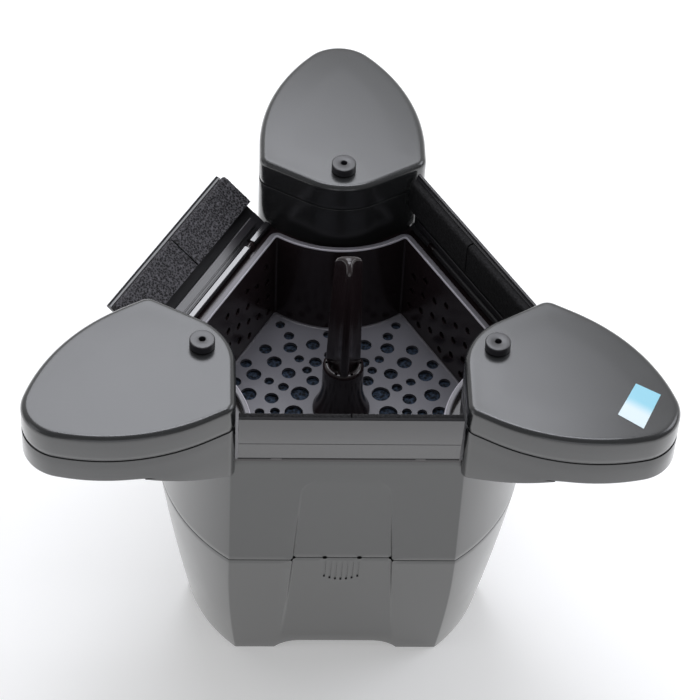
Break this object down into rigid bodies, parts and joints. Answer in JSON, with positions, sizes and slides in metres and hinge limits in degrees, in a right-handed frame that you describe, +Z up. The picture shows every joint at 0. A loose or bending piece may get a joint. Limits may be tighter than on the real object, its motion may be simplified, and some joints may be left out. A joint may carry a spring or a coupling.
{
  "type": "floating pond skimmer",
  "caption": "Floating pond surface skimmer: tapered housing with pod floats, hinged weir flaps, lift-out leaf basket with upright grip, and a submersible pump inside.",
  "frame": {"origin": "on the main axis at the level of the feet, in the mouth of the outlet nozzle under the housing", "axes": "+Z up along the main axis; the back float lies along +Y and the front weir flap faces -Y; +X towards the right float"},
  "size_m": [0.555, 0.4946, 0.4121],
  "materials": {
    "housing_plastic": "satin moulded",
    "float_plastic": "satin moulded",
    "flap_plastic": "satin moulded",
    "black_plastic": "semi-gloss moulded",
    "plug_plastic": "satin",
    "pump_plastic": "matt moulded",
    "seal_rubber": "matt",
    "stainless": "bright",
    "pad_foam": "open-cell foam",
    "filter_foam": "open-cell foam"
  },
  "bodies": {
    "housing": {"lower_housing": "housing_plastic", "housing_floor": "pump_plastic", "upper_housing": "housing_plastic", "housing_gasket": "seal_rubber", "housing_screws": "stainless", "weir_frame": "black_plastic", "foam_grate": "pump_plastic", "pump_motor": "pump_plastic", "pump_volute": "black_plastic", "pump_strainer": "black_plastic", "impeller_shaft": "stainless", "pump_cradle": "pump_plastic", "pump_feet": "seal_rubber", "outlet_nozzle": "black_plastic", "nozzle_nut": "black_plastic", "nozzle_seal": "seal_rubber", "cable_gland": "seal_rubber", "gland_nut": "seal_rubber", "float_shell_back": "float_plastic", "float_shell_left": "float_plastic", "float_shell_right": "float_plastic", "float_neck_back": "float_plastic", "float_neck_left": "float_plastic", "float_neck_right": "float_plastic", "float_cover_back": "float_plastic", "float_cover_left": "float_plastic", "float_cover_right": "float_plastic", "float_screws": "stainless", "hinge_rod_front": "stainless", "hinge_rod_right": "stainless", "hinge_rod_left": "stainless", "hinge_clips_front": "black_plastic", "hinge_clips_right": "black_plastic", "hinge_clips_left": "black_plastic"},
    "foam": {"filter_foam": "filter_foam"},
    "basket": {"basket_frame": "black_plastic", "basket_floor": "black_plastic", "basket_screen_front": "black_plastic", "basket_screen_right": "black_plastic", "basket_screen_left": "black_plastic", "grip_socket": "black_plastic", "grip": "black_plastic", "grip_screw": "stainless"},
    "rotor": {"impeller": "pump_plastic"},
    "plug_back": {"float_plug_back": "plug_plastic", "plug_seal_back": "seal_rubber"},
    "plug_left": {"float_plug_left": "plug_plastic", "plug_seal_left": "seal_rubber"},
    "plug_right": {"float_plug_right": "plug_plastic", "plug_seal_right": "seal_rubber"},
    "weir_flap_front": {"flap_front": "flap_plastic", "flap_pads_front": "pad_foam"},
    "weir_flap_right": {"flap_right": "flap_plastic", "flap_pads_right": "pad_foam"},
    "weir_flap_left": {"flap_left": "flap_plastic", "flap_pads_left": "pad_foam"}
  },
  "joints": [
    {"name": "front_flap_hinge", "type": "hinge", "parent": "housing", "child": "weir_flap_front", "pos_m": [0, -0.1325, 0.3061], "axis": [1, 0, 0], "range_deg": [-55.5, 54.5]},
    {"name": "right_flap_hinge", "type": "hinge", "parent": "housing", "child": "weir_flap_right", "pos_m": [0.11475, 0.06625, 0.3061], "axis": [-0.5, 0.866, 0], "range_deg": [-45, 65]},
    {"name": "left_flap_hinge", "type": "hinge", "parent": "housing", "child": "weir_flap_left", "pos_m": [-0.11475, 0.06625, 0.3061], "axis": [-0.5, -0.866, 0], "range_deg": [-102, 8]},
    {"name": "foam_lift", "type": "slide", "parent": "housing", "child": "foam", "axis": [0, 0, 1], "range_m": [0, 0.15]},
    {"name": "basket_lift", "type": "slide", "parent": "foam", "child": "basket", "axis": [0, 0, 1], "range_m": [0, 0.13]},
    {"name": "back_plug_pull", "type": "slide", "parent": "housing", "child": "plug_back", "axis": [0, 0, 1], "range_m": [0, 0.02]},
    {"name": "left_plug_pull", "type": "slide", "parent": "housing", "child": "plug_left", "axis": [0, 0, 1], "range_m": [0, 0.02]},
    {"name": "right_plug_pull", "type": "slide", "parent": "housing", "child": "plug_right", "axis": [0, 0, 1], "range_m": [0, 0.02]},
    {"name": "rotor_spin", "type": "hinge", "parent": "housing", "child": "rotor", "pos_m": [0, 0.027, 0.076], "axis": [1, 0, 0], "continuous": true}
  ]
}
